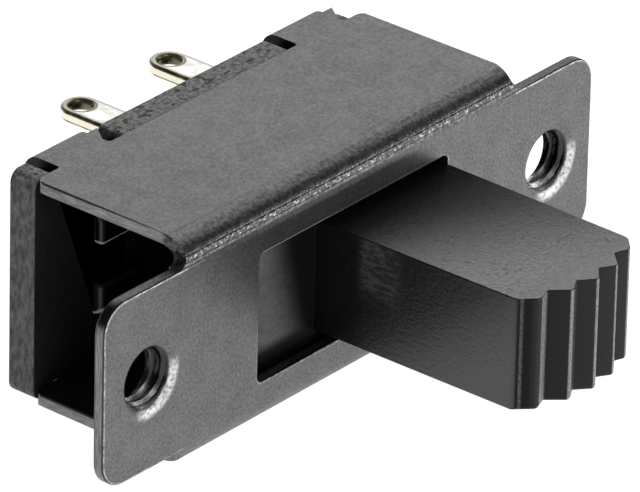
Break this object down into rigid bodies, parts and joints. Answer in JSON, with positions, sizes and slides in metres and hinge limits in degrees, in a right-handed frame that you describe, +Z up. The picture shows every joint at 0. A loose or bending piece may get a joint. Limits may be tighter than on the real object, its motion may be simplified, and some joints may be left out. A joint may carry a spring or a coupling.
{
  "type": "slide switch",
  "caption": "Panel-mounting slide switch: folded steel frame with tapped ears, crimped terminal board, flat solder lugs and a large ribbed black knob in a window.",
  "frame": {"origin": "midway between the two tapped mounting holes, on the frame's front face", "axes": "+X along the switch towards the end where the knob rests, +Y from the panel back to the solder lugs, +Z up, along the knob's height"},
  "size_m": [0.034, 0.0292, 0.0114],
  "materials": {
    "blackened_steel": "blackened, satin, finely mottled, bare bright metal in the threads",
    "phenolic_board": "dark laminated phenolic, mottled punched edges",
    "black_plastic": "satin black moulding, faintly pitted",
    "silvered_brass": "silver-plated brass, warm where the plating thins at the cut edges",
    "contact_copper": "bright phosphor bronze",
    "spring_steel": "plain drawn wire"
  },
  "bodies": {
    "housing": {"frame": "blackened_steel", "terminal_board": "phenolic_board", "terminal_common_top": "silvered_brass", "terminal_common_bottom": "silvered_brass", "terminal_switched_top": "silvered_brass", "terminal_switched_bottom": "silvered_brass", "idle_contact_top": "silvered_brass", "idle_contact_bottom": "silvered_brass"},
    "slider": {"slider": "black_plastic", "contact_bridge_top": "contact_copper", "contact_bridge_bottom": "contact_copper", "contact_spring_top": "spring_steel", "contact_spring_bottom": "spring_steel"}
  },
  "joints": [
    {"name": "slide", "type": "slide", "parent": "housing", "child": "slider", "axis": [1, 0, 0], "range_m": [-0.00485, 0]}
  ]
}
